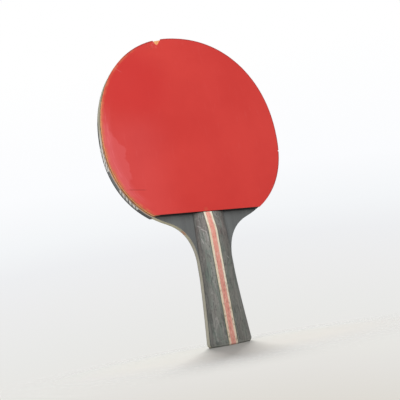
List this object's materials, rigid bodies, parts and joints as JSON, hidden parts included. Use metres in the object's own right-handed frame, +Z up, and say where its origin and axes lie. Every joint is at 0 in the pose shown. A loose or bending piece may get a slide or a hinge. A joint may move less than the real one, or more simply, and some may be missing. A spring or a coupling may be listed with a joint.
{
  "type": "table tennis racket",
  "caption": "Table tennis racket with a round head, red rubber on orange sponge in front, black rubber on dark sponge behind, a plywood blade and a flared wooden grip with an inlaid stripe.",
  "frame": {"origin": "middle of the butt's flat end, which is the bottom centre of the whole racket's box", "axes": "+Z up along the grip towards the head, X across the face, -Y out of the front face with the red rubber"},
  "size_m": [0.1506, 0.0206, 0.2468],
  "materials": {
    "core_wood": "bare sanded pale wood",
    "crossband_wood": "bare cross-grain wood",
    "dark_ply": "dyed dark grey, thin satin lacquer",
    "orange_sponge": "open matt foam",
    "dark_sponge": "open matt foam",
    "red_rubber": "smooth satin rubber, lightly worn",
    "black_rubber": "smooth satin rubber",
    "tape": "pale woven-backed tape, worn",
    "grey_wood": "grey stained open grain, scuffed",
    "cream_veneer": "pale veneer, satin",
    "red_veneer": "faded red dyed veneer"
  },
  "bodies": {
    "root": {"blade_core": "core_wood", "front_crossband": "crossband_wood", "back_crossband": "crossband_wood", "front_face_ply": "dark_ply", "back_face_ply": "dark_ply", "front_sponge": "orange_sponge", "back_sponge": "dark_sponge", "front_topsheet": "red_rubber", "back_topsheet": "black_rubber", "edge_tape": "tape", "front_scale_left_block": "grey_wood", "front_scale_left_veneer": "cream_veneer", "front_scale_red_strip": "red_veneer", "front_scale_right_veneer": "cream_veneer", "front_scale_right_block": "grey_wood", "back_scale_left_block": "grey_wood", "back_scale_left_veneer": "cream_veneer", "back_scale_red_strip": "red_veneer", "back_scale_right_veneer": "cream_veneer", "back_scale_right_block": "grey_wood"}
  },
  "joints": []
}
